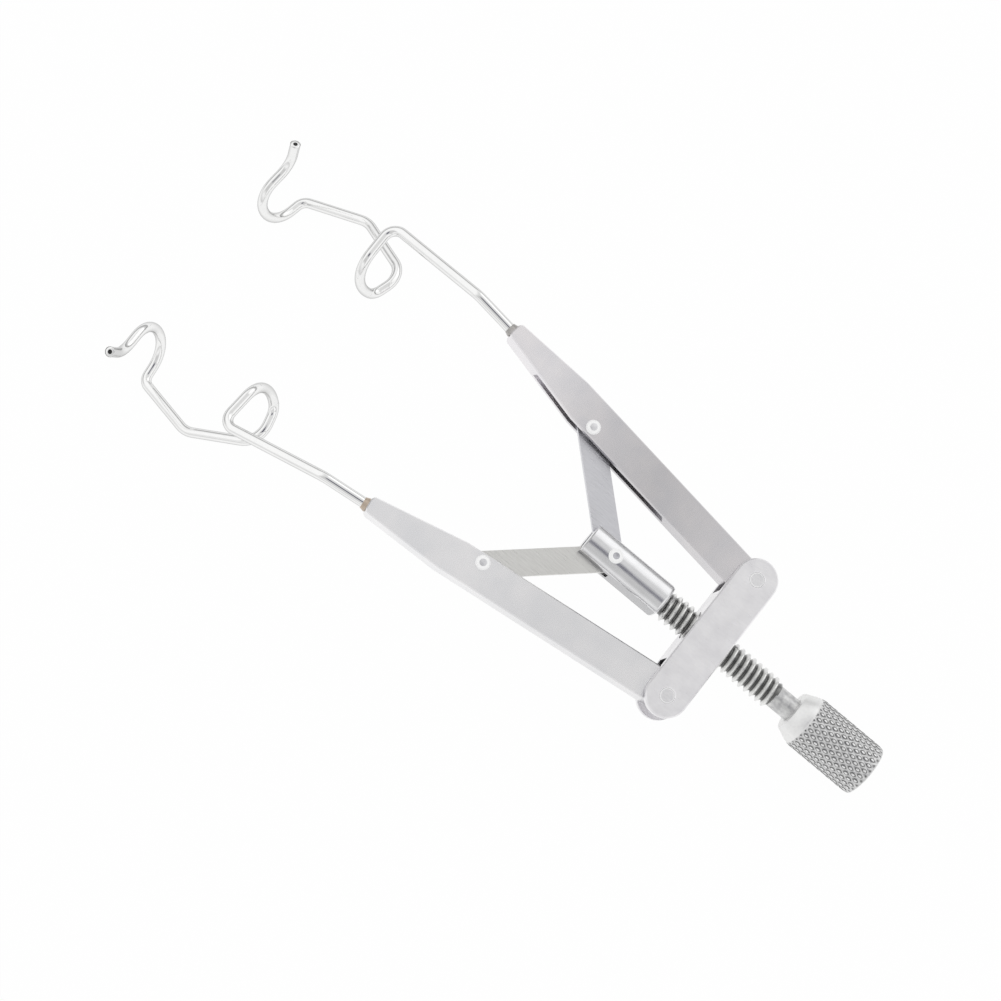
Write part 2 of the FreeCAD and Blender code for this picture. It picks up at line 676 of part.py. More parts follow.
def lay_on_wire(feature, side, x):
    """Lay a round form along the wire's line at the arm's tip."""
    feature.Placement = Placement(Vector(0, 0, 0), Rotation(Vector(0, 1, 0), 90))
    feature.setExpression("Placement.Base.x", ref(x))
    feature.setExpression("Placement.Base.y", ref("-%d * {arm_tip_offset}" % side))


def make_braze(label, side):
    """Small fillet of braze round the wire at the arm's tip."""
    fillet = doc.addObject("Part::Cone", "braze_%s_cone" % label)
    fillet.setExpression("Radius1", ref("{braze_diameter} / 2"))
    fillet.setExpression("Radius2", ref("{wire_diameter} / 2 + {braze_front_rim}"))
    fillet.setExpression("Height", ref("{braze_length}"))
    lay_on_wire(fillet, side, "{arm_length}")
    hole = doc.addObject("Part::Cylinder", "braze_%s_hole" % label)
    hole.setExpression("Radius", ref("{wire_diameter} / 2 + {fixed_clearance}"))
    hole.setExpression("Height", ref("3 * {braze_length}"))
    lay_on_wire(hole, side, "{arm_length} - {braze_length}")
    ring = doc.addObject("Part::Cut", "braze_" + label)
    ring.Base = fillet
    ring.Tool = hole
    ring.Label = "braze_" + label
    place(ring, y="%d * %s" % (side, PIVOT_Y), turn="%d * {arm_angle}" % side)
    return ring


parts = [make_yoke(), make_collar(), make_collar_pin(), make_screw(), make_swivel_pin(), make_knob()]
for label, side in SIDES:
    for make in (make_pivot_pin, make_arm, make_rivet, make_link, make_blade, make_braze):
        parts.append(make(label, side))

doc.recompute()
for item in doc.Objects:
    if "Invalid" in item.State or "Error" in item.State:
        raise RuntimeError("failed: " + item.Label)
for item in parts:
    if item.Shape.isNull() or not item.Shape.isValid() or len(item.Shape.Solids) != 1:
        raise RuntimeError("bad shape: " + item.Label)

os.makedirs("parts", exist_ok=True)
for item in parts:
    item.Shape.exportStep("parts/%s.step" % item.Label)
    box = item.Shape.BoundBox
    print("%-18s volume %8.3f  x %7.2f %7.2f  y %7.2f %7.2f  z %7.2f %7.2f" % (
        item.Label, item.Shape.Volume, box.XMin, box.XMax, box.YMin, box.YMax, box.ZMin, box.ZMax))
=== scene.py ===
"""Looks of the screw-operated eyelid retractor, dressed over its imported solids.

The frame is the part's own: +X along the lead screw towards the blades, +Y to the left arm,
+Z up, and the origin in the middle of the yoke. Pieces are shaped in millimetres and brought
to metres when they are finished.
"""

import logging
import math
from collections.abc import Callable, Mapping, Sequence
from dataclasses import dataclass
from enum import Enum
from functools import cache

import bpy
from mathutils import Matrix, Vector


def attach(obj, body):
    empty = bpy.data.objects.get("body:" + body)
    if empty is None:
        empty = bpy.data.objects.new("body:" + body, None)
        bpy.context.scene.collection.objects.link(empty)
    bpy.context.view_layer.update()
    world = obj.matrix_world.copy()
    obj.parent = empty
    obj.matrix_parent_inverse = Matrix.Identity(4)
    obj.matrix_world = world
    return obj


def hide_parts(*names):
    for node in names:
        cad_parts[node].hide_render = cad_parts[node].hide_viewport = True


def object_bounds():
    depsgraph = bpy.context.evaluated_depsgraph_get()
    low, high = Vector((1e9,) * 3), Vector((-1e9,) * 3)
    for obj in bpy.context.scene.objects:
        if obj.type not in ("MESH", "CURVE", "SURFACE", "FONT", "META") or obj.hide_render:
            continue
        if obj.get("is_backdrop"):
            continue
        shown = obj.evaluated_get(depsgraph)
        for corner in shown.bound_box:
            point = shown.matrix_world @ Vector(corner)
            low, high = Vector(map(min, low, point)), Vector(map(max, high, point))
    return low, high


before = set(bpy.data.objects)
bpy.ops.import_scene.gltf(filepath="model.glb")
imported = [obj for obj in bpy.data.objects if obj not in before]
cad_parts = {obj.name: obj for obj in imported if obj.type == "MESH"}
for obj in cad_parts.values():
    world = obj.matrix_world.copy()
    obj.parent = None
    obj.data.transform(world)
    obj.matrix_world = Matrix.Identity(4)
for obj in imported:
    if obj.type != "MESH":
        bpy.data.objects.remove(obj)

MM = 0.001
PER_MM = 1000.0
FULL_TURN = 2.0 * math.pi
QUARTER = math.radians(90.0)
ARM_ANGLE = math.radians(7.3)
MIDDLE = (0.0, 0.0, 0.0)
WHITE = (1.0, 1.0, 1.0)
log = logging.getLogger("retractor")

Point = tuple[float, float, float]
Colour = tuple[float, float, float]
Pair = tuple[float, float]
Piece = bpy.types.Object
Socket = bpy.types.NodeSocket


class Side(Enum):
    """The two arms' sides of the screw, with the sign of their Y."""

    LEFT = 1
    RIGHT = -1

    @property
    def word(self) -> str:
        """Name of the side as the nodes have it."""
        return self.name.lower()


class Bench:
    """Modelling steps that several pieces share, all in millimetres."""

    weld = 0.0005
    solid_weld = 0.00002
    normal_weight = 90

    @staticmethod
    def clear() -> None:
        """Leave edit mode and deselect everything."""
        if bpy.context.object is not None and bpy.context.object.mode != "OBJECT":
            bpy.ops.object.mode_set(mode="OBJECT")
        bpy.ops.object.select_all(action="DESELECT")

    @staticmethod
    def take(piece: Piece) -> None:
        """Select one piece alone and make it active.

        Args:
            piece: the object to take.
        """
        Bench.clear()
        bpy.context.view_layer.objects.active = piece
        piece.select_set(True)

    @staticmethod
    def edit(piece: Piece) -> None:
        """Go into edit mode with the whole of one piece selected.

        Args:
            piece: the object to edit.
        """
        Bench.take(piece)
        bpy.ops.object.mode_set(mode="EDIT")
        bpy.ops.mesh.select_all(action="SELECT")

    @staticmethod
    def close_up() -> None:
        """Merge doubled points in edit mode, turn the faces outwards and leave edit mode."""
        bpy.ops.mesh.select_all(action="SELECT")
        bpy.ops.mesh.remove_doubles(threshold=Bench.weld)
        bpy.ops.mesh.normals_make_consistent(inside=False)
        bpy.ops.object.mode_set(mode="OBJECT")

    @staticmethod
    def cut_across(where: float, facing: float = 1.0, **what: bool) -> None:
        """Cut all that is in edit mode square to X, by a plane at a place and facing along or back."""
        bpy.ops.mesh.select_all(action="SELECT")
        bpy.ops.mesh.bisect(plane_co=(where, 0.0, 0.0), plane_no=(facing, 0.0, 0.0), **what)

    @staticmethod
    def set_radius(piece: Piece, wanted: Callable[[float, float], float]) -> None:
        """Move a piece's points in or out, square to X.

        Args:
            piece: the object, in object mode.
            wanted: gives a point's new distance from the axis from its X and its old distance.
        """
        for point in piece.data.vertices:
            radius = math.hypot(point.co.y, point.co.z)
            scale = wanted(point.co.x, radius) / radius
            point.co.y *= scale
            point.co.z *= scale

    @staticmethod
    def draw_line(name: str, outline: Sequence[Pair]) -> Piece:
        """Draw a line beside the X axis by extruding from each point to the next.

        Args:
            name: name of the new object.
            outline: the points, each its X and its distance from the axis.

        Returns:
            The object, in edit mode, with all its points selected.
        """
        points = [Vector((x, 0.0, radius)) for x, radius in outline]
        Bench.clear()
        bpy.ops.mesh.primitive_plane_add(size=0.5, location=MIDDLE)
        piece = bpy.context.object
        piece.name = name
        piece.data.name = name
        bpy.ops.object.mode_set(mode="EDIT")
        bpy.ops.mesh.select_mode(type="VERT")
        bpy.ops.mesh.select_all(action="SELECT")
        bpy.ops.mesh.merge(type="CENTER")
        bpy.ops.transform.translate(value=points[0])
        for here, there in zip(points, points[1:]):
            bpy.ops.mesh.extrude_region_move(TRANSFORM_OT_translate={"value": there - here})
        bpy.ops.mesh.select_all(action="SELECT")
        return piece

    @staticmethod
    def turn(name: str, outline: Sequence[Pair], steps: int = 96) -> Piece:
        """Turn an outline about the X axis into a closed form, as on a lathe.

        Args:
            name: name of the new object.
            outline: points of the half section, the first and the last on the axis.
            steps: divisions of the full turn.

        Returns:
            The object, in object mode.
        """
        piece = Bench.draw_line(name, outline)
        bpy.ops.mesh.spin(steps=steps, angle=FULL_TURN, center=MIDDLE, axis=(1.0, 0.0, 0.0))
        Bench.close_up()
        return piece

    @staticmethod
    def add_modifier(piece: Piece, kind: str, **settings: object) -> None:
        """Add a modifier to a piece and apply it.

        Args:
            piece: the object to change.
            kind: the modifier's type.
            **settings: the modifier's values by name.
        """
        Bench.take(piece)
        modifier = piece.modifiers.new(kind.lower(), kind)
        for key, value in settings.items():
            setattr(modifier, key, value)
        bpy.ops.object.modifier_apply(modifier=modifier.name)

    @staticmethod
    def select_faces(piece: Piece, wanted: Callable[[bpy.types.MeshPolygon], bool]) -> None:
        """Go into edit mode with the wanted faces selected.

        Args:
            piece: the object to select on.
            wanted: test that is given each face.
        """
        Bench.take(piece)
        bpy.ops.object.mode_set(mode="EDIT")
        bpy.ops.mesh.select_mode(type="FACE")
        bpy.ops.mesh.select_all(action="DESELECT")
        bpy.ops.object.mode_set(mode="OBJECT")
        for face in piece.data.polygons:
            face.select = wanted(face)
        bpy.ops.object.mode_set(mode="EDIT")

    @staticmethod
    def join(target: Piece, *others: Piece) -> None:
        """Join other objects into the target.

        Args:
            target: the object that stays.
            *others: the objects that become part of it.
        """
        Bench.take(target)
        for other in others:
            other.select_set(True)
        bpy.ops.object.join()

    @staticmethod
    def to_metres(piece: Piece, smooth_angle: float) -> None:
        """Bring a finished piece from millimetres to metres and shade it.

        Args:
            piece: the object to finish.
            smooth_angle: edges sharper than this many degrees stay sharp.
        """
        Bench.take(piece)
        bpy.ops.object.transform_apply(location=True, rotation=True, scale=True)
        Bench.edit(piece)
        bpy.ops.transform.resize(value=(MM, MM, MM), center_override=MIDDLE)
        bpy.ops.object.mode_set(mode="OBJECT")
        bpy.ops.object.shade_smooth_by_angle(angle=math.radians(smooth_angle))

    @staticmethod
    def add_to_scene(name: str, data: bpy.types.ID) -> Piece:
        """Make an object for a mesh, lamp or camera.

        Args:
            name: the object's name.
            data: what it holds.

        Returns:
            The new object.
        """
        thing = bpy.data.objects.new(name, data)
        bpy.context.scene.collection.objects.link(thing)
        return thing

    @staticmethod
    def copy_solid(node: str) -> Piece:
        """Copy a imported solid, join its loose triangles and smooth its round faces.

        Args:
            node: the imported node's name.

        Returns:
            The copy, in metres.
        """
        piece = Bench.add_to_scene(node + "_finished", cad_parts[node].data.copy())
        Bench.edit(piece)
        bpy.ops.transform.resize(value=(PER_MM, PER_MM, PER_MM), center_override=MIDDLE)
        bpy.ops.mesh.remove_doubles(threshold=Bench.solid_weld)
        bpy.ops.object.mode_set(mode="OBJECT")
        bpy.ops.mesh.customdata_custom_splitnormals_clear()
        Bench.to_metres(piece, 30.0)
        Bench.add_modifier(piece, "WEIGHTED_NORMAL", keep_sharp=True, weight=Bench.normal_weight)
        return piece

    @staticmethod
    def seat(piece: Piece, body: str, slot: str, node: str) -> None:
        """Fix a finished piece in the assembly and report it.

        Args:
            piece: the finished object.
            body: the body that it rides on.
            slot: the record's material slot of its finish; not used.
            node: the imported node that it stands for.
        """
        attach(piece, body)
        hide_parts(node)
        log.info("%s: %d faces on %s", piece.name, len(piece.data.polygons), body)


class Shading:
    """Adds and joins the nodes of one shader tree."""

    def __init__(self, tree: bpy.types.NodeTree) -> None:
        """Take the tree to work in."""
        self.tree = tree

    @staticmethod
    def new_material(name: str) -> tuple[bpy.types.Material, "Shading", bpy.types.Node]:
        """Begin a material.

        Args:
            name: the material's name.

        Returns:
            The material, the bench for its tree and its Principled shader.
        """
        material = bpy.data.materials.new(name)
        material.use_nodes = True
        return material, Shading(material.node_tree), material.node_tree.nodes["Principled BSDF"]

    def feed(self, target: Socket, value: object) -> None:
        """Give an input its value.

        Args:
            target: the input.
            value: an output to join to it, a number, or a colour without its alpha.
        """
        if isinstance(value, Socket):
            self.tree.links.new(value, target)
        elif target.type == "RGBA":
            target.default_value = (*value, 1.0)
        else:
            target.default_value = value

    def add(self, kind: str, values: Mapping[str | int, object] | None = None,
            **settings: object) -> bpy.types.Node:
        """Add a node.

        Args:
            kind: the node's type.
            values: what its inputs get, as feed takes it.
            **settings: its own properties.

        Returns:
            The new node.
        """
        node = self.tree.nodes.new(kind)
        for key, value in settings.items():
            setattr(node, key, value)
        for key, value in (values or {}).items():
            self.feed(node.inputs[key], value)
        return node

    def math(self, operation: str, first: object, second: object = 0.0, clamp: bool = False) -> Socket:
        """Work out a Math node's operation on sockets or numbers, kept between 0 and 1 if clamped."""
        values = {0: first, 1: second}
        return self.add("ShaderNodeMath", values, operation=operation, use_clamp=clamp).outputs[0]

    def length(self, first: Socket, second: Socket) -> Socket:
        """Length of the line whose two square sides are given."""
        square = self.math("ADD", self.math("POWER", first, 2.0), self.math("POWER", second, 2.0))
        return self.math("SQRT", square)

    def span(self, value: Socket, low: float, high: float, to_low: float = 0.0, to_high: float = 1.0,
             smooth: bool = False) -> Socket:
        """Map one range of values to another.

        Args:
            value: the socket to map.
            low: value that becomes to_low.
            high: value that becomes to_high.
            to_low: result at low.
            to_high: result at high.
            smooth: ease in and out.

        Returns:
            The result's socket.
        """
        ends = {"From Min": low, "From Max": high, "To Min": to_low, "To Max": to_high}
        easing = "SMOOTHSTEP" if smooth else "LINEAR"
        node = self.add("ShaderNodeMapRange", {"Value": value, **ends}, interpolation_type=easing)
        return node.outputs["Result"]

    def blend(self, factor: object, first: object, second: object, kind: str = "MIX") -> Socket:
        """Blend two colours.

        Args:
            factor: 0 gives the first colour and 1 the second.
            first: a colour or a socket.
            second: a colour or a socket.
            kind: the Mix node's blend type.

        Returns:
            The blended colour's socket.
        """
        node = self.add("ShaderNodeMix", {"Factor": factor}, data_type="RGBA", blend_type=kind)
        colours = [socket for socket in node.inputs if socket.type == "RGBA"]
        self.feed(colours[0], first)
        self.feed(colours[1], second)
        return next(socket for socket in node.outputs if socket.type == "RGBA")

    def multiply(self, first: Socket, second: Socket) -> Socket:
        """Multiply two colours."""
        return self.blend(1.0, first, second, "MULTIPLY")

    def ramp(self, value: Socket, stops: Sequence[Pair]) -> Socket:
        """Map a value to a brightness that changes from stop to stop.

        Args:
            value: the socket to map, between 0 and 1.
            stops: places and the brightness at each.

        Returns:
            The brightness's socket.
        """
        node = self.add("ShaderNodeValToRGB", {"Fac": value})
        knots = node.color_ramp.elements
        knots[0].position, knots[1].position = stops[0][0], stops[-1][0]
        for place, _ in stops[1:-1]:
            knots.new(place)
        for knot, (_, level) in zip(knots, stops):
            knot.color = (level, level, level, 1.0)
        return node.outputs["Color"]

    def parts(self, place: Socket) -> Mapping[str, Socket]:
        """Split a place or a direction into its X, Y and Z."""
        return self.add("ShaderNodeSeparateXYZ", {"Vector": place}).outputs

    def on_object(self) -> Socket:
        """Place on the object, in metres."""
        return self.add("ShaderNodeTexCoord").outputs["Object"]


class Groups:
    """Shader effects that several finishes use, each built once."""

    mark_span = (0.28, 0.72)
    cloud_span = (0.32, 0.68)

    @staticmethod
    def start(name: str, inputs: Mapping[str, float],
              outputs: Sequence[str]) -> tuple[Shading, Mapping[str, Socket], Mapping[str, Socket]]:
        """Begin a node group.

        Args:
            name: the group's name.
            inputs: its input values with their defaults.
            outputs: its output values.

        Returns:
            The shading bench, what the group is given and what it puts out.
        """
        tree = bpy.data.node_groups.new(name, "ShaderNodeTree")
        for label, value in inputs.items():
            socket = tree.interface.new_socket(label, in_out="INPUT", socket_type="NodeSocketFloat")
            socket.default_value = value
        for label in outputs:
            tree.interface.new_socket(label, in_out="OUTPUT", socket_type="NodeSocketFloat")
        bench = Shading(tree)
        return bench, bench.add("NodeGroupInput").outputs, bench.add("NodeGroupOutput").inputs

    @staticmethod
    @cache
    def brushing() -> bpy.types.NodeTree:
        """Fine straight marks of a brushing or grinding pass, and soft clouds in the metal.

        Returns:
            The group: takes Turn in radians, marks per millimetre Along and Across, and Cloud Size in
            millimetres; puts out Marks and Clouds.
        """
        bench, given, result = Groups.start(
            "brushing", {"Turn": 0.0, "Along": 0.2, "Across": 8.0, "Cloud Size": 3.0}, ("Marks", "Clouds"))
        place = bench.on_object()
        turned = bench.add("ShaderNodeVectorRotate", {"Vector": place, "Angle": given["Turn"]},
                           rotation_type="Z_AXIS").outputs["Vector"]
        along = bench.math("MULTIPLY", given["Along"], PER_MM)
        across = bench.math("MULTIPLY", given["Across"], PER_MM)
        spread = bench.add("ShaderNodeCombineXYZ", {"X": along, "Y": across, "Z": across}).outputs["Vector"]
        scaled = bench.add("ShaderNodeVectorMath", {0: turned, 1: spread}, operation="MULTIPLY")
        grain = {"Vector": scaled.outputs["Vector"], "Scale": 1.0, "Detail": 3.0, "Roughness": 0.62}
        marks = bench.add("ShaderNodeTexNoise", grain).outputs["Fac"]
        scale = bench.math("DIVIDE", PER_MM, given["Cloud Size"])
        haze = {"Vector": place, "Scale": scale, "Detail": 2.0, "Roughness": 0.5}
        clouds = bench.add("ShaderNodeTexNoise", haze).outputs["Fac"]
        bench.feed(result["Marks"], bench.span(marks, *Groups.mark_span))
        bench.feed(result["Clouds"], bench.span(clouds, *Groups.cloud_span))
        return bench.tree

    @staticmethod
    @cache
    def grooves() -> bpy.types.NodeTree:
        """Height above the bottom of a turned part's grooves, for the painted shade down in them.

        Returns:
            The group: takes the Inner and the Outer radius in millimetres; puts out Height, 0 at the
            inner radius and 1 at the outer.
        """
        bench, given, result = Groups.start("grooves", {"Inner": 1.0, "Outer": 1.4}, ("Height",))
        parts = bench.parts(bench.on_object())
        radius = bench.math("MULTIPLY", bench.length(parts["Y"], parts["Z"]), PER_MM)
        above = bench.math("SUBTRACT", radius, given["Inner"])
        depth = bench.math("SUBTRACT", given["Outer"], given["Inner"])
        bench.feed(result["Height"], bench.math("DIVIDE", above, depth, clamp=True))
        return bench.tree


@dataclass(frozen=True)
class SteelFinish:
    """A worked steel surface: its colour, gloss and the marks of its last pass, with painted shade,
    highlight and reflection on some finishes.
    """

    name: str
    light: Colour
    dark: Colour
    gloss: Pair
    turn: float = 0.0
    along: float = 3.0
    across: float = 6.0
    cloud_size: float = 3.0
    cloud_share: float = 0.35
    bump: float = 0.02
    bump_strength: float = 0.35
    groove_radii: Pair | None = None
    groove_shade_levels: tuple[Pair, ...] = ()
    painted_reflection: tuple[Pair, ...] = ()
    # rim: the colour's share at the outline; below 1 it is painted shade
    rim: float = 1.0
    painted_rim_span: Pair = (0.42, 0.8)
    metallic: float = 1.0

    def painted_reflection_along(self, bench: Shading) -> Socket:
        """Painted reflection: brightness that changes along the instrument, from place to place in
        millimetres.

        Args:
            bench: the material's tree.

        Returns:
            The tone's socket.
        """
        first, last = self.painted_reflection[0][0], self.painted_reflection[-1][0]
        share = bench.span(bench.parts(bench.on_object())["X"], first * MM, last * MM)
        return bench.ramp(share, [((x - first) / (last - first), level) for x, level in self.painted_reflection])

    def paint_rim_shade(self, bench: Shading) -> Socket:
        """Painted shade: the colour falls where the surface turns away from the camera, as at the outline
        of a round wire.
        """
        facing = bench.add("ShaderNodeLayerWeight", {"Blend": 0.5}).outputs["Facing"]
        return bench.ramp(facing, ((0.0, 1.0), (self.painted_rim_span[0], 1.0), (self.painted_rim_span[1], self.rim)))

    def build(self) -> bpy.types.Material:
        """Make the material.

        Returns:
            The finished material.
        """
        material, bench, shader = Shading.new_material(self.name)
        worked = bench.add("ShaderNodeGroup", {
            "Turn": self.turn, "Along": self.along, "Across": self.across, "Cloud Size": self.cloud_size},
            node_tree=Groups.brushing()).outputs
        shade = bench.math("ADD", bench.math("MULTIPLY", worked["Marks"], 1.0 - self.cloud_share),
                           bench.math("MULTIPLY", worked["Clouds"], self.cloud_share))
        colour = bench.blend(shade, self.dark, self.light)
        # painted shade: darker down the grooves of a turned part
        if self.groove_radii is not None:
            radii = dict(zip(("Inner", "Outer"), self.groove_radii))
            height = bench.add("ShaderNodeGroup", radii, node_tree=Groups.grooves()).outputs["Height"]
            colour = bench.multiply(colour, bench.ramp(height, self.groove_shade_levels))
        # painted reflection: brightness ramp along X
        if self.painted_reflection:
            colour = bench.multiply(colour, self.painted_reflection_along(bench))
        # painted shade at the outline
        if self.rim < 1.0:
            colour = bench.multiply(colour, self.paint_rim_shade(bench))
        bump = bench.add("ShaderNodeBump", {
            "Strength": self.bump_strength, "Distance": self.bump * MM, "Height": worked["Marks"]})
        bench.feed(shader.inputs["Base Color"], colour)
        bench.feed(shader.inputs["Metallic"], self.metallic)
        bench.feed(shader.inputs["Roughness"], bench.span(worked["Marks"], 0.0, 1.0, *self.gloss))
        bench.feed(shader.inputs["Normal"], bump.outputs["Normal"])
        return material


FINISHES = (
    # Both arms are one steel: their brightness ramps along X are painted reflection, darkest mid-way along
    # the right arm.
    SteelFinish("satin_arm_left", (0.94, 0.93, 0.935), (0.86, 0.86, 0.875), (0.25, 0.29),
                turn=QUARTER - ARM_ANGLE, along=0.7, across=8.0, cloud_size=2.4, cloud_share=0.8,
                bump=0.0005, painted_reflection=((0.0, 0.98), (12.0, 0.98), (20.0, 1.04), (30.0, 1.05))),
    SteelFinish("satin_arm_right", (0.945, 0.915, 0.925), (0.845, 0.835, 0.865), (0.25, 0.29),
                turn=QUARTER + ARM_ANGLE, along=0.7, across=8.0, cloud_size=2.4, cloud_share=0.8,
                bump=0.0005,
                painted_reflection=((0.0, 0.84), (6.0, 0.77), (12.0, 0.70), (18.0, 0.80), (25.0, 1.0), (30.0, 1.0))),
    SteelFinish("satin_yoke", (0.985, 0.975, 0.985), (0.85, 0.84, 0.86), (0.27, 0.33),
                along=1.6, cloud_size=1.6, cloud_share=0.65, bump=0.001),
    # The two links are the same ground steel; the right one's darker, bluer copy is painted shade.
    SteelFinish("ground_link_left", (0.84, 0.835, 0.81), (0.74, 0.735, 0.71), (0.26, 0.36),
                along=0.8, across=7.0),
    SteelFinish("ground_link_right", (0.78, 0.78, 0.81), (0.68, 0.68, 0.71), (0.26, 0.36),
                along=0.8, across=7.0),
    SteelFinish("flush_pin", (0.93, 0.92, 0.93), (0.80, 0.80, 0.81), (0.30, 0.38), cloud_size=0.8),
    # White non-metal rims of the pins and rivets: painted highlight.
    SteelFinish("bright_ring", (1.0, 1.0, 1.0), (0.94, 0.94, 0.94), (0.45, 0.55), along=6.0, metallic=0.0),
    SteelFinish("rivet_middle", (0.88, 0.88, 0.89), (0.74, 0.74, 0.76), (0.34, 0.44),
                along=4.0, cloud_size=0.6),
    # Darker steel in the collar pin's dimple: painted shade.
    SteelFinish("pin_dimple", (0.66, 0.66, 0.69), (0.50, 0.50, 0.53), (0.40, 0.50),
                along=4.0, across=4.0, cloud_size=0.4),
    # Near-black faces inside the yoke's slots: painted shadow.
    SteelFinish("slot_inside", (0.16, 0.16, 0.17), (0.08, 0.08, 0.09), (0.55, 0.65), along=2.0, across=5.0),
    # The collar's side flats: a darker copy of its steel, painted shade.
    SteelFinish("collar_flat", (0.60, 0.60, 0.61), (0.48, 0.48, 0.49), (0.26, 0.36),
                along=0.8, across=7.0, bump=0.002),
    SteelFinish("polished_collar", (0.86, 0.86, 0.87), (0.77, 0.77, 0.78), (0.17, 0.25),
                along=0.6, cloud_size=1.2, cloud_share=0.5, bump=0.006),
    # The wire's colour falls to half at its outline: painted shade.
    SteelFinish("polished_wire", (0.96, 0.96, 0.955), (0.90, 0.90, 0.895), (0.06, 0.10),
                along=0.4, across=4.0, bump=0.002, rim=0.5),
    # The thread is darker towards its roots: painted shade.
    SteelFinish("cut_thread", (0.93, 0.93, 0.92), (0.78, 0.78, 0.77), (0.22, 0.38), across=3.0,
                groove_radii=(1.05, 1.42),
                groove_shade_levels=((0.0, 0.22), (0.2, 0.34), (0.55, 1.0), (1.0, 1.0))),
    SteelFinish("dull_neck", (0.86, 0.86, 0.85), (0.44, 0.44, 0.45), (0.34, 0.50),
                across=4.0, cloud_size=0.6, cloud_share=0.55),
    SteelFinish("turned_knob", (0.96, 0.96, 0.955), (0.84, 0.84, 0.835), (0.38, 0.48),
                along=4.0, across=4.0),
    # The knurl is darkest on its diamonds' sides and brightest on their tops: painted shade and highlight.
    SteelFinish("diamond_knurl", (0.98, 0.98, 0.98), (0.90, 0.90, 0.90), (0.26, 0.40), across=3.0,
                groove_radii=(2.365, 2.51),
                groove_shade_levels=((0.0, 0.84), (0.33, 0.76), (0.57, 0.14), (0.72, 0.20), (0.84, 1.0))),
    SteelFinish("silver_braze_left", (0.66, 0.56, 0.46), (0.46, 0.38, 0.31), (0.28, 0.46),
                across=3.0, cloud_size=0.5),
    SteelFinish("silver_braze_right", (0.55, 0.53, 0.51), (0.38, 0.37, 0.36), (0.28, 0.46),
                across=3.0, cloud_size=0.5),
    # Near-black dimple in each wire's tip: painted shade.
    SteelFinish("cut_mark", (0.10, 0.10, 0.10), (0.04, 0.04, 0.04), (0.5, 0.7), along=6.0),
)


@cache
def material_of(finish: str) -> bpy.types.Material:
    """Material of one of the finishes, made when it is first asked for."""
    return {kind.name: kind for kind in FINISHES}[finish].build()


def dress(piece: Piece, finish: str) -> None:
    """Put one finish all over a piece."""
    piece.data.materials.clear()
    piece.data.materials.append(material_of(finish))


@dataclass(frozen=True)
class Bend:
    """A corner of a wire's centre line, from the arm's tip, and the radius it is bent to."""

    forward: float
    outward: float
    drop: float
    radius: float = 0.0


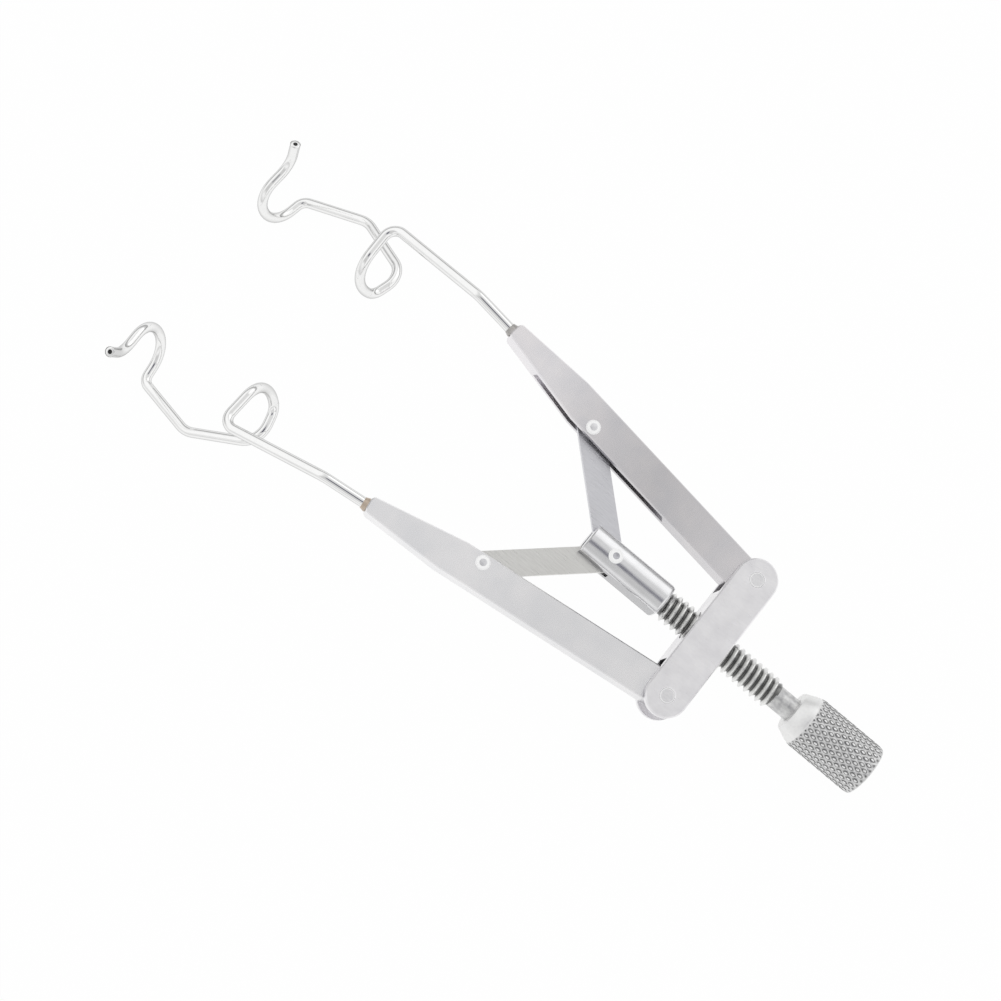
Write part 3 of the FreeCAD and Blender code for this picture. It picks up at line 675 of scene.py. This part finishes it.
@dataclass
class BladeWire:
    """Round wire of one blade, bent to two hooks and the bar between them."""

    side: Side
    arm_reach: float = 29.85
    pivot_offset: float = 6.4
    radius: float = 0.47
    seat: Bend = Bend(-4.3, -0.23, 0.0)
    bends: tuple[Bend, ...] = (
        Bend(4.3, -0.3, 0.0, 2.15),
        Bend(14.3, -0.3, 4.65, 1.15),
        Bend(13.72, -3.95, 4.83, 1.65),
        Bend(12.97, -6.14, 6.75, 3.2),
        Bend(11.36, -4.8, 9.18, 1.35),
        Bend(10.87, -1.44, 9.26, 2.2),
        Bend(17.12, 0.57, 12.98, 2.4),
        Bend(22.95, -1.8, 15.96, 1.0),
        Bend(23.0, -5.78, 15.5, 2.9),
        Bend(25.13, -5.93, 11.46, 2.55),
        Bend(25.31, -1.82, 10.23, 2.6),
    )
    tip: Bend = Bend(25.94, -0.88, 7.73)
    handle_stub: float = 0.1
    round_steps: int = 10
    length_steps: int = 12
    rim_round: float = 0.13
    rim_steps: int = 5
    end_facing: float = 0.95
    cut_margin: float = 0.28
    cut_wall: float = 0.08
    cut_depth: float = 0.05
    smooth_angle: float = 40.0

    def place(self, bend: Bend) -> Vector:
        """Place of a corner in the part's frame.

        Args:
            bend: the corner.

        Returns:
            Its place, in millimetres.
        """
        flat = Vector((self.arm_reach + bend.forward, self.side.value * bend.outward, -bend.drop))
        turned = Matrix.Rotation(self.side.value * ARM_ANGLE, 3, "Z") @ flat
        return turned + Vector((0.0, self.side.value * self.pivot_offset, 0.0))

    def control_points(self) -> list[tuple[Vector, Vector, Vector]]:
        """Points of the centre line with their handles, two for each bend.

        Returns:
            For each point its place, its handle behind and its handle ahead.
        """
        corners = [self.place(bend) for bend in (self.seat, *self.bends, self.tip)]
        points = [(corners[0], corners[0], corners[0])]
        for bend, before, here, after in zip(self.bends, corners, corners[1:], corners[2:]):
            back = (before - here).normalized()
            ahead = (after - here).normalized()
            bent = math.pi - back.angle(ahead)
            reach = bend.radius * math.tan(bent / 2)
            handle = reach - bend.radius * math.tan(bent / 4) * 4 / 3
            start = here + back * reach
            end = here + ahead * reach
            points.append((start, start + back * self.handle_stub, here + back * handle))
            points.append((end, here + ahead * handle, end + ahead * self.handle_stub))
        points.append((corners[-1], corners[-1], corners[-1]))
        return points

    def draw(self) -> Piece:
        """Draw the wire as a round curve and make it a mesh.

        Returns:
            The wire, in millimetres, with flat ends.
        """
        Bench.clear()
        bpy.ops.curve.primitive_bezier_curve_add(location=MIDDLE)
        piece = bpy.context.object
        piece.name = "wire_" + self.side.word
        line = piece.data.splines[0]
        points = self.control_points()
        line.bezier_points.add(len(points) - len(line.bezier_points))
        for knot, (here, behind, ahead) in zip(line.bezier_points, points):
            knot.handle_left_type = knot.handle_right_type = "FREE"
            knot.co, knot.handle_left, knot.handle_right = here, behind, ahead
        line.resolution_u = self.length_steps
        piece.data.bevel_depth = self.radius
        piece.data.bevel_resolution = self.round_steps
        piece.data.use_fill_caps = True
        bpy.ops.object.convert(target="MESH")
        return bpy.context.object

    def round_tip(self, wire: Piece) -> None:
        """Round the free end's rim and sink a small dimple in its middle, coloured near black as painted
        shade.

        Args:
            wire: the wire's mesh.
        """
        end = self.place(self.tip)
        ahead = (end - self.place(self.bends[-1])).normalized()
        Bench.select_faces(wire, lambda face: (
            (face.center - end).length < self.radius and face.normal.dot(ahead) > self.end_facing))
        bpy.ops.mesh.dissolve_faces()
        bpy.ops.mesh.bevel(offset=self.rim_round, segments=self.rim_steps, affect="EDGES")
        Bench.select_faces(wire, lambda face: (
            len(face.vertices) > 4 and (face.center - end).length < self.radius / 2))
        bpy.ops.mesh.inset(thickness=self.radius * self.cut_margin)
        bpy.ops.object.mode_set(mode="OBJECT")
        # the dimple's faces get the near-black painted shade
        wire.data.materials.append(material_of("cut_mark"))
        for face in wire.data.polygons:
            if face.select:
                face.material_index = 1
        bpy.ops.object.mode_set(mode="EDIT")
        bpy.ops.mesh.inset(thickness=self.radius * self.cut_wall, depth=-self.cut_depth)
        bpy.ops.object.mode_set(mode="OBJECT")

    def make(self) -> None:
        """Build one blade and seat it in the assembly."""
        wire = self.draw()
        Bench.edit(wire)
        Bench.close_up()
        dress(wire, "polished_wire")
        self.round_tip(wire)
        Bench.to_metres(wire, self.smooth_angle)
        Bench.seat(wire, "arm_" + self.side.word, "polished_wire", "blade_" + self.side.word)


@dataclass
class LeadScrew:
    """Lead screw with its thread, its neck behind and its journal in front."""

    crest_radius: float = 1.4225
    root_radius: float = 1.05
    pitch: float = 0.635
    crest_flat: float = 0.09
    root_flat: float = 0.07
    thread_rear: float = -7.6
    thread_front: float = 4.75
    neck_rear: float = -14.5
    neck_radius: float = 1.05
    journal_radius: float = 0.8
    journal_front: float = 8.7
    groove_radius: float = 0.5
    groove_rear: float = 6.85
    groove_front: float = 7.55
    run_out: float = 0.32
    spare_turns: int = 3
    overlap: float = 0.1
    divisions: int = 64
    journal_steps: int = 48
    smooth_angle: float = 25.0

    def make_thread(self) -> Piece:
        """Wind one tooth's outline round the axis and trim both ends.

        Returns:
            The thread, closed at both ends.
        """
        flank = (self.pitch - self.crest_flat - self.root_flat) / 2
        start = self.thread_rear - self.spare_turns / 2 * self.pitch
        thread = Bench.draw_line("lead_screw_cut", [
            (start, self.root_radius),
            (start + flank, self.crest_radius),
            (start + flank + self.crest_flat, self.crest_radius),
            (start + 2 * flank + self.crest_flat, self.root_radius),
            (start + self.pitch, self.root_radius)])
        turns = math.ceil((self.thread_front - self.thread_rear) / self.pitch) + self.spare_turns
        Bench.add_modifier(thread, "SCREW", axis="X", angle=FULL_TURN, screw_offset=self.pitch,
                           iterations=turns, steps=self.divisions, render_steps=self.divisions,
                           use_merge_vertices=True, merge_threshold=0.001, use_normal_calculate=True)
        bpy.ops.object.mode_set(mode="EDIT")
        for where, facing in ((self.thread_rear, 1.0), (self.thread_front, -1.0)):
            Bench.cut_across(where, facing, use_fill=True, clear_inner=True)
        bpy.ops.mesh.select_all(action="SELECT")
        bpy.ops.mesh.normals_make_consistent(inside=False)
        bpy.ops.object.mode_set(mode="OBJECT")
        Bench.set_radius(thread, self.crest_at)
        return thread

    def crest_at(self, x: float, radius: float) -> float:
        """Bring the crests down to the root at both ends.

        Args:
            x: a point's place along the screw.
            radius: its distance from the axis.

        Returns:
            Its new distance from the axis.
        """
        inside = max(0.0, min(x - self.thread_rear, self.thread_front - x))
        depth = self.crest_radius - self.root_radius
        return min(radius, self.root_radius + depth * min(1.0, inside / self.run_out))

    def make(self) -> None:
        """Build the whole screw and seat it in the assembly."""
        thread = self.make_thread()
        neck_front = self.thread_rear + self.overlap
        journal_rear = self.thread_front - self.overlap
        neck = Bench.turn("neck", [
            (self.neck_rear, 0.0), (self.neck_rear, self.neck_radius),
            (neck_front, self.neck_radius), (neck_front, 0.0)])
        journal = Bench.turn("journal", [
            (journal_rear, 0.0), (journal_rear, self.journal_radius),
            (self.groove_rear, self.journal_radius), (self.groove_rear, self.groove_radius),
            (self.groove_front, self.groove_radius), (self.groove_front, self.journal_radius),
            (self.journal_front, self.journal_radius), (self.journal_front, 0.0)], self.journal_steps)
        for piece, finish in ((thread, "cut_thread"), (neck, "dull_neck"), (journal, "dull_neck")):
            dress(piece, finish)
        Bench.join(thread, neck, journal)
        Bench.to_metres(thread, self.smooth_angle)
        Bench.seat(thread, "screw", "screw_steel", "lead_screw")


@dataclass
class Knob:
    """Knob with a turned cone in front and a diamond knurl round its grip."""

    front: float = -9.55
    rim_radius: float = 1.875
    rim_round: Pair = (0.06, 0.05)
    rim_swell: float = 0.01
    shoulder_radius: float = 2.35
    shoulder: float = -10.7
    shoulder_round: Pair = (0.05, 0.04)
    shoulder_run: float = 0.2
    grip_radius: float = 2.525
    grip_front: float = -10.9
    rear: float = -17.85
    rear_round: tuple[Pair, ...] = ((0.0, 0.45), (0.03, 0.2), (0.12, 0.04), (0.3, 0.0))
    bore_radius: float = 1.06
    bore_bevel: Pair = (0.1, 0.12)
    bore_end: float = -14.6
    core_sink: float = 0.03
    groove_depth: float = 0.16
    end_bevel: float = 0.12
    end_fade: float = 0.35
    end_share: float = 0.25
    diamonds_round: int = 26
    diamond_length: float = 1.04
    slanted_share: Pair = (0.2, 0.8)
    land: float = 0.11
    sleeve_wall: float = 0.25
    smooth_angle: float = 32.0

    @property
    def bottom(self) -> float:
        """Radius at the bottom of the knurl's grooves."""
        return self.grip_radius - self.groove_depth

    @property
    def knurl_rear(self) -> float:
        """Rear end of the knurl."""
        return self.rear + self.end_bevel

    def make_core(self) -> Piece:
        """Turn the knob's plain form, down to just below the bottom of the knurl.

        Returns:
            The core.
        """
        core = self.bottom - self.core_sink
        return Bench.turn("knob_cut", [
            (self.rear, 0.0),
            *((self.rear + inward, core - below) for inward, below in self.rear_round),
            (self.grip_front - self.shoulder_run, core),
            (self.grip_front - self.shoulder_round[0], self.shoulder_radius + self.shoulder_round[1]),
            (self.shoulder, self.shoulder_radius),
            (self.front - self.rim_round[0], self.rim_radius + self.rim_swell),
            (self.front, self.rim_radius - self.rim_round[1]),
            (self.front, self.bore_radius + self.bore_bevel[1]),
            (self.front - self.bore_bevel[0], self.bore_radius),
            (self.bore_end, self.bore_radius),
            (self.bore_end, 0.0)])

    def make_knurl(self) -> Piece:
        """Raise the diamonds on a sleeve of crossed grooves.

        Returns:
            The knurled sleeve, in edit mode, still open at both ends.
        """
        rows = math.ceil((self.grip_front - self.knurl_rear) / self.diamond_length)
        length = rows * self.diamond_length
        Bench.clear()
        bpy.ops.mesh.primitive_cylinder_add(
            vertices=self.diamonds_round, radius=self.bottom, depth=length, end_fill_type="NOTHING",
            rotation=(0.0, QUARTER, 0.0), location=(self.grip_front - length / 2, 0.0, 0.0))
        sleeve = bpy.context.object
        sleeve.name = "knurl"
        bpy.ops.object.transform_apply(location=True, rotation=True, scale=True)
        bpy.ops.object.mode_set(mode="EDIT")
        for row in range(1, rows):
            Bench.cut_across(self.grip_front - row * self.diamond_length)
        bpy.ops.mesh.select_all(action="SELECT")
        bpy.ops.mesh.poke()
        bpy.ops.object.mode_set(mode="OBJECT")
        Bench.set_radius(sleeve, lambda x, radius: self.bottom)
        bpy.ops.object.mode_set(mode="EDIT")
        self.drop_grid_edges(sleeve)
        bpy.ops.mesh.select_mode(type="FACE")
        bpy.ops.mesh.select_all(action="SELECT")
        bpy.ops.mesh.normals_make_consistent(inside=False)
        bpy.ops.mesh.inset(
            thickness=self.land, depth=self.groove_depth, use_individual=True, use_even_offset=True)
        return sleeve

    def drop_grid_edges(self, sleeve: Piece) -> None:
        """Dissolve the straight grid so that only the crossed diagonals stay.

        Args:
            sleeve: the sleeve in edit mode, its quads poked.
        """
        bpy.ops.mesh.select_mode(type="EDGE")
        bpy.ops.mesh.select_all(action="DESELECT")
        bpy.ops.object.mode_set(mode="OBJECT")
        points = sleeve.data.vertices
        least, most = (share * self.diamond_length for share in self.slanted_share)
        seen: dict[int, int] = {}
        for face in sleeve.data.polygons:
            for index in (sleeve.data.loops[i].edge_index for i in face.loop_indices):
                seen[index] = seen.get(index, 0) + 1
        for edge in sleeve.data.edges:
            first, second = (points[index].co for index in edge.vertices)
            slanted = least < abs(first.x - second.x) < most
            edge.select = not slanted and seen[edge.index] == 2
        bpy.ops.object.mode_set(mode="EDIT")
        bpy.ops.mesh.dissolve_edges(use_verts=False)

    def land_at(self, x: float, radius: float) -> float:
        """Bring the knurl down where it meets the shoulder and the bevelled end.

        Args:
            x: a point's place along the knob.
            radius: its distance from the axis.

        Returns:
            Its new distance from the axis.
        """
        inside = max(0.0, min(x - self.knurl_rear, self.grip_front - x))
        share = min(1.0, self.end_share + inside / self.end_fade)
        return min(radius, self.bottom + self.groove_depth * share)

    def make(self) -> None:
        """Build the whole knob and seat it in the assembly."""
        core = self.make_core()
        knurl = self.make_knurl()
        Bench.cut_across(self.knurl_rear, clear_inner=True)
        bpy.ops.object.mode_set(mode="OBJECT")
        Bench.set_radius(knurl, self.land_at)
        Bench.add_modifier(knurl, "SUBSURF", levels=1, render_levels=1)
        Bench.add_modifier(knurl, "SOLIDIFY", thickness=self.sleeve_wall, offset=-1.0)
        dress(core, "turned_knob")
        dress(knurl, "diamond_knurl")
        Bench.join(core, knurl)
        Bench.to_metres(core, self.smooth_angle)
        Bench.seat(core, "screw", "knob_steel", "knob")


@dataclass(frozen=True)
class DarkSpot:
    """Dark place in the ceiling that the metal mirrors, around a direction."""

    x: float
    y: float
    width: float
    depth: float
    core: float
    colour: Colour

    def build(self, bench: Shading, x: Socket, y: Socket) -> Socket:
        """Add the spot to a tree.

        Args:
            bench: the tree to add it to.
            x: the direction's X.
            y: the direction's Y.

        Returns:
            Socket of the colour by which the ceiling is multiplied.
        """
        along = bench.math("DIVIDE", bench.math("SUBTRACT", x, self.x), self.width)
        across = bench.math("DIVIDE", bench.math("SUBTRACT", y, self.y), self.depth)
        share = bench.span(bench.length(along, across), self.core, 1.0, smooth=True)
        return bench.blend(share, self.colour, WHITE)


@dataclass
class Studio:
    """Pale floor, soft light and the camera of the photograph."""

    camera_place: Point = (27.43, 44.38, 180.91)
    camera_aim: Point = (21.23, 2.26, 0.0)
    camera_roll: float = 48.01
    focal_length: float = 78.51
    sensor_width: float = 36.0
    sight: Pair = (0.005, 20.0)
    knob_foot: Point = (-17.55, 0.0, -2.53)
    hook_foot: Point = (52.65, 0.0, -16.36)
    floor_size: float = 1600.0
    paper_colour: Colour = (0.78, 0.78, 0.78)
    paper_roughness: float = 0.9
    paper_glow: float = 0.98
    paper_fade: Pair = (-60.0, -26.0)
    paper_in_metal: Pair = (0.12, 0.85)
    strips: tuple[Pair, ...] = (
        (0.0, 0.92), (0.10, 0.92), (0.20, 0.78), (0.30, 0.74), (0.47, 0.75), (0.66, 0.66), (0.86, 0.62),
        (0.94, 0.96), (1.0, 0.86))
    strips_end: Pair = (0.40, 0.65)
    dark_spot: DarkSpot = DarkSpot(0.03, 0.16, 0.42, 0.28, 0.20, (0.12, 0.12, 0.18))
    horizon: Pair = (0.42, 0.08)
    horizon_behind: tuple[float, ...] = (-0.2, -0.7, 0.55, 0.95)
    horizon_left: tuple[float, ...] = (0.15, 0.55, 1.0, 0.35)
    diffuse_light: Colour = (0.9, 0.9, 0.9)
    lamp_size: float = 250.0
    lamp_energy: float = 0.05
    lamp_place: Point = (0.0, -260.0, 200.0)
    lamp_aim: Point = (20.0, 0.0, 0.0)

    @staticmethod
    def aim(thing: Piece, place: Point, target: Point, roll: float = 0.0) -> None:
        """Put a camera or lamp in its place and turn it to a target.

        Args:
            thing: the camera or lamp.
            place: where it stands, in millimetres.
            target: what it looks at, in millimetres.
            roll: turn about its line of sight, in degrees.
        """
        thing.location = Vector(place) * MM
        look = Vector(target) * MM - Vector(place) * MM
        turn = look.to_track_quat("-Z", "Y").to_matrix() @ Matrix.Rotation(math.radians(roll), 3, "Z")
        thing.rotation_mode = "QUATERNION"
        thing.rotation_quaternion = turn.to_quaternion()

    def place_camera(self) -> None:
        """Set the camera where the photograph was taken from."""
        data = bpy.data.cameras.new("camera")
        data.lens = self.focal_length
        data.sensor_width = self.sensor_width
        data.clip_start, data.clip_end = self.sight
        camera = Bench.add_to_scene("camera", data)
        self.aim(camera, self.camera_place, self.camera_aim, self.camera_roll)
        bpy.context.scene.camera = camera

    def lay_floor(self) -> None:
        """Lay the floor under the knob's rear edge and the blades' front hooks."""
        rear = Vector(self.knob_foot) * MM
        front = Vector(self.hook_foot) * MM
        slope = math.atan2(rear.z - front.z, front.x - rear.x)
        Bench.clear()
        bpy.ops.mesh.primitive_plane_add(
            size=self.floor_size * MM, location=(rear + front) / 2, rotation=(0.0, slope, 0.0))
        floor = bpy.context.object
        floor.name = "floor"
        floor.data.materials.append(self.paper())
        floor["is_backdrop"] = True

    @staticmethod
    def seen_directly(bench: Shading, in_metal: object = 1.0) -> Socket:
        """Value that is 1 for camera rays, and a share of it for glossy and transmission rays.

        Args:
            bench: the tree to add it to.
            in_metal: the value for glossy and transmission rays, a number or a socket.

        Returns:
            Its socket.
        """
        rays = bench.add("ShaderNodeLightPath").outputs
        mirrored = bench.math("MAXIMUM", rays["Is Glossy Ray"], rays["Is Transmission Ray"])
        return bench.math("MAXIMUM", rays["Is Camera Ray"], bench.math("MULTIPLY", mirrored, in_metal))

    def paper(self) -> bpy.types.Material:
        """White paper that keeps a faint shadow and is dimmer in the metal behind the knob.

        Returns:
            The floor's material.
        """
        material, bench, shader = Shading.new_material("white_paper")
        bench.feed(shader.inputs["Base Color"], self.paper_colour)
        bench.feed(shader.inputs["Roughness"], self.paper_roughness)
        glow = bench.add("ShaderNodeEmission", {"Color": WHITE, "Strength": 1.0})
        place = bench.parts(bench.add("ShaderNodeNewGeometry").outputs["Position"])
        ends = (end * MM for end in self.paper_fade)
        in_metal = bench.span(place["X"], *ends, *self.paper_in_metal, smooth=True)
        share = bench.math("MULTIPLY", self.seen_directly(bench, in_metal), self.paper_glow)
        mixed = bench.add("ShaderNodeMixShader", {
            "Fac": share, 1: shader.outputs["BSDF"], 2: glow.outputs["Emission"]})
        output = material.node_tree.nodes["Material Output"]
        bench.feed(output.inputs["Surface"], mixed.outputs["Shader"])
        return material

    def surround(self) -> None:
        """Surround the instrument with even light, and with the room that its metal mirrors."""
        world = bpy.data.worlds.new("studio")
        world.use_nodes = True
        bpy.context.scene.world = world
        bench = Shading(world.node_tree)
        place = bench.parts(bench.add("ShaderNodeTexCoord").outputs["Generated"])
        x, y, z = (place[name] for name in "XYZ")
        strips = bench.ramp(bench.span(y, -1.0, 1.0), self.strips)
        beside = bench.span(bench.math("ABSOLUTE", x), *self.strips_end, smooth=True)
        ceiling = bench.multiply(bench.blend(beside, strips, WHITE), self.dark_spot.build(bench, x, y))
        low = bench.span(z, *self.horizon, smooth=True)
        behind = bench.span(x, *self.horizon_behind, smooth=True)
        left_side = bench.span(y, *self.horizon_left, smooth=True)
        shade = bench.math("MULTIPLY", low, bench.math("MULTIPLY", behind, left_side))
        walls = bench.blend(shade, ceiling, (0.0, 0.0, 0.0))
        shown = bench.blend(self.seen_directly(bench), self.diffuse_light, walls)
        to_camera = bench.add("ShaderNodeLightPath").outputs["Is Camera Ray"]
        background = world.node_tree.nodes["Background"]
        bench.feed(background.inputs["Color"], bench.blend(to_camera, shown, WHITE))
        bench.feed(background.inputs["Strength"], 1.0)

    def hang_lamp(self) -> None:
        """Hang one soft lamp over the right side."""
        lamp = bpy.data.lights.new("softbox", "AREA")
        lamp.shape = "SQUARE"
        lamp.size = self.lamp_size * MM
        lamp.energy = self.lamp_energy
        self.aim(Bench.add_to_scene("softbox", lamp), self.lamp_place, self.lamp_aim)

    def build(self) -> None:
        """Set up the camera, the floor and the light, with colours shown as they are."""
        self.place_camera()
        self.lay_floor()
        self.surround()
        self.hang_lamp()
        bpy.context.scene.view_settings.view_transform = "Standard"


@dataclass(frozen=True)
class Zone:
    """Faces of a solid that get another material, some of them painted shade: round its middle, inside it
    or on its sides.
    """

    finish: str
    radius: float = math.inf
    half_height: float = math.inf
    beyond_y: float = -1.0
    within_x: float = math.inf
    within_y: float = math.inf
    least_facing_y: float = 0.0

    def holds(self, face: bpy.types.MeshPolygon, middle: Vector) -> bool:
        """Tell whether a face lies in the zone, from the middle of its solid."""
        place = (face.center - middle) * PER_MM
        return (math.hypot(place.x, place.y) < self.radius and abs(place.z) < self.half_height
                and self.beyond_y < abs(place.y) < self.within_y and abs(place.x) < self.within_x
                and abs(face.normal.y) >= self.least_facing_y)


@dataclass(frozen=True)
class SteelPart:
    """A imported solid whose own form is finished: what it rides on, its slot, finish and zones."""

    node: str
    body: str
    slot: str
    finish: str
    zones: tuple[Zone, ...] = ()

    def make(self) -> None:
        """Finish the solid and seat it in the assembly."""
        piece = Bench.copy_solid(self.node)
        dress(piece, self.finish)
        ends = [Vector(corner) for corner in piece.bound_box]
        middle = sum(ends, Vector()) / len(ends)
        for index, zone in enumerate(self.zones, start=1):
            piece.data.materials.append(material_of(zone.finish))
            for face in piece.data.polygons:
                if zone.holds(face, middle):
                    face.material_index = index
        Bench.seat(piece, self.body, self.slot, self.node)


# faces inside the yoke's slots, painted shadow
YOKE_SLOT_SHADOW = Zone("slot_inside", half_height=1.21, beyond_y=3.0, within_x=1.88, within_y=5.3)
# side flats of the collar, painted shade
COLLAR_FLAT_SHADE = Zone("collar_flat", least_facing_y=0.97)
# dimple of the collar pin, painted shade
PIN_DIMPLE_SHADE = Zone("pin_dimple", radius=0.29)
PIN_MIDDLE = Zone("flush_pin", radius=0.57)
RIVET_MIDDLE = Zone("rivet_middle", radius=0.35)


def steel_parts() -> list[SteelPart]:
    """Every solid that keeps its own form.

    Returns:
        The solids, in the order in which they are finished.
    """
    parts = [
        SteelPart("yoke", "yoke", "satin_steel", "satin_yoke", (YOKE_SLOT_SHADOW,)),
        SteelPart("collar", "collar", "collar_steel", "polished_collar", (COLLAR_FLAT_SHADE,)),
        SteelPart("collar_pin", "collar", "rivet_steel", "bright_ring", (PIN_DIMPLE_SHADE,)),
        SteelPart("swivel_pin", "collar", "pin_steel", "flush_pin"),
    ]
    for side in Side:
        arm = "arm_" + side.word
        link = "link_" + side.word
        braze = "braze_" + side.word
        parts += [
            SteelPart(arm, arm, "satin_steel", "satin_" + arm),
            SteelPart("pivot_pin_" + side.word, "yoke", "pin_steel", "bright_ring", (PIN_MIDDLE,)),
            SteelPart("link_rivet_" + side.word, arm, "rivet_steel", "bright_ring", (RIVET_MIDDLE,)),
            SteelPart(link, link, "link_steel", "ground_" + link),
            SteelPart(braze, arm, "braze", "silver_" + braze),
        ]
    return parts


def corners() -> list[list[float]]:
    """Lowest and highest corner of what is shown, as plain lists."""
    return [list(corner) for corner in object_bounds()]


def main() -> None:
    """Build the scene in order."""
    logging.basicConfig(level=logging.INFO, format="%(name)s: %(message)s")
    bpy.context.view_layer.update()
    Studio().build()
    for part in steel_parts():
        part.make()
    for side in Side:
        BladeWire(side).make()
    LeadScrew().make()
    Knob().make()


if __name__ == "__main__":
    main()
